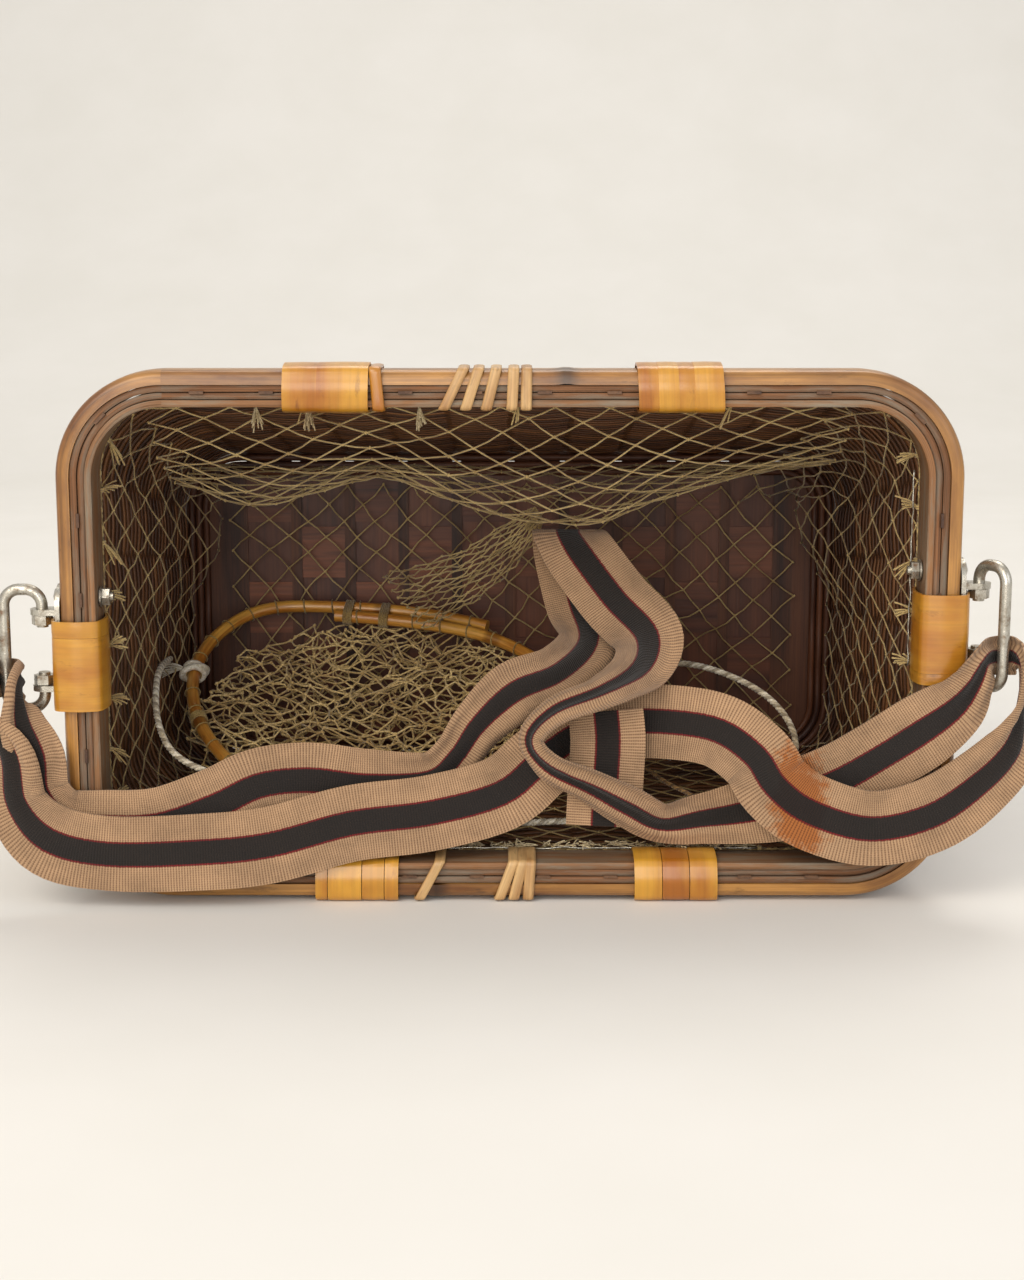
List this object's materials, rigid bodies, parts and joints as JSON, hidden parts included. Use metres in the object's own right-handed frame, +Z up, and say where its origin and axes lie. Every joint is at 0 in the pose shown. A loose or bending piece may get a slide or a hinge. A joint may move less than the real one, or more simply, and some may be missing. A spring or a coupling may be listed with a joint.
{
  "type": "bamboo fishing creel",
  "caption": "Woven split-bamboo fishing creel lying on its back wall, with a net liner, a small landing net and a woven shoulder strap on steel bails.",
  "frame": {"origin": "on the surface it lies on, below the middle of the whole object's bounding box", "axes": "+X along the mouth, +Y from the mouth to the base, +Z up"},
  "size_m": [0.4488, 0.253, 0.2321],
  "materials": {
    "bamboo_weave": "aged split bamboo, satin",
    "bamboo_base": "aged split bamboo, satin",
    "rim_skin": "smooth bamboo skin, satin",
    "rim_edge": "worn cut edges, matte",
    "cane": "smooth cane skin, satin",
    "plate_steel": "dull, lightly rusted",
    "net_twine": "knotted twine, matte",
    "hoop_bamboo": "smooth bamboo, satin",
    "thread": "waxed thread",
    "white_cord": "twisted cotton, matte",
    "brown_cord": "twisted twine, matte",
    "webbing": "ribbed woven cotton, matte"
  },
  "bodies": {
    "creel": {"base_cross_strips": "bamboo_base", "base_long_strips": "bamboo_base", "bottom_lashing": "cane", "bottom_wall_weavers": "bamboo_weave", "brown_cord": "brown_cord", "corner_weavers": "bamboo_weave", "foot_hoop": "bamboo_base", "hoop_bindings": "thread", "landing_net_bag": "net_twine", "landing_net_hoop": "hoop_bamboo", "lanyard_cord": "white_cord", "lanyard_knot": "white_cord", "left_end_plate": "plate_steel", "left_wall_weavers": "bamboo_weave", "net_back": "net_twine", "net_bunch": "net_twine", "net_floor": "net_twine", "net_head_rope": "net_twine", "net_left_panel": "net_twine", "net_right_panel": "net_twine", "net_top_swag": "net_twine", "plate_bolts": "plate_steel", "plate_nuts": "plate_steel", "plate_rivets": "plate_steel", "right_end_plate": "plate_steel", "right_wall_weavers": "bamboo_weave", "rim_inner_hoop": "rim_edge", "rim_inner_lamina": "rim_edge", "rim_outer_hoop": "rim_skin", "rim_outer_lamina": "rim_edge", "sleeve_band": "cane", "sleeve_bottom_left": "cane", "sleeve_bottom_right": "cane", "sleeve_left_end": "cane", "sleeve_right_end": "cane", "sleeve_top_left": "cane", "sleeve_top_right": "cane", "strap_hanging_loop": "webbing", "strap_left_run": "webbing", "strap_lower_run": "webbing", "strap_right_run": "webbing", "strap_tail": "webbing", "top_lashing": "cane", "top_wall_weavers": "bamboo_weave", "wall_stakes": "bamboo_weave"},
    "bail_left": {"left_bail": "plate_steel", "left_bail_nuts": "plate_steel", "strap_left_loop": "webbing"},
    "bail_right": {"right_bail": "plate_steel", "right_bail_nuts": "plate_steel", "strap_right_loop": "webbing"}
  },
  "joints": [
    {"name": "bail_left_swing", "type": "hinge", "parent": "creel", "child": "bail_left", "pos_m": [-0.2011, -0.1025, 0.10455], "axis": [0, 0, 1], "range_deg": [-85, 85], "deforming": ["strap_left_loop"]},
    {"name": "bail_right_swing", "type": "hinge", "parent": "creel", "child": "bail_right", "pos_m": [0.2011, -0.1025, 0.116], "axis": [0, 0, 1], "range_deg": [-25, 145], "deforming": ["strap_right_loop"]}
  ]
}
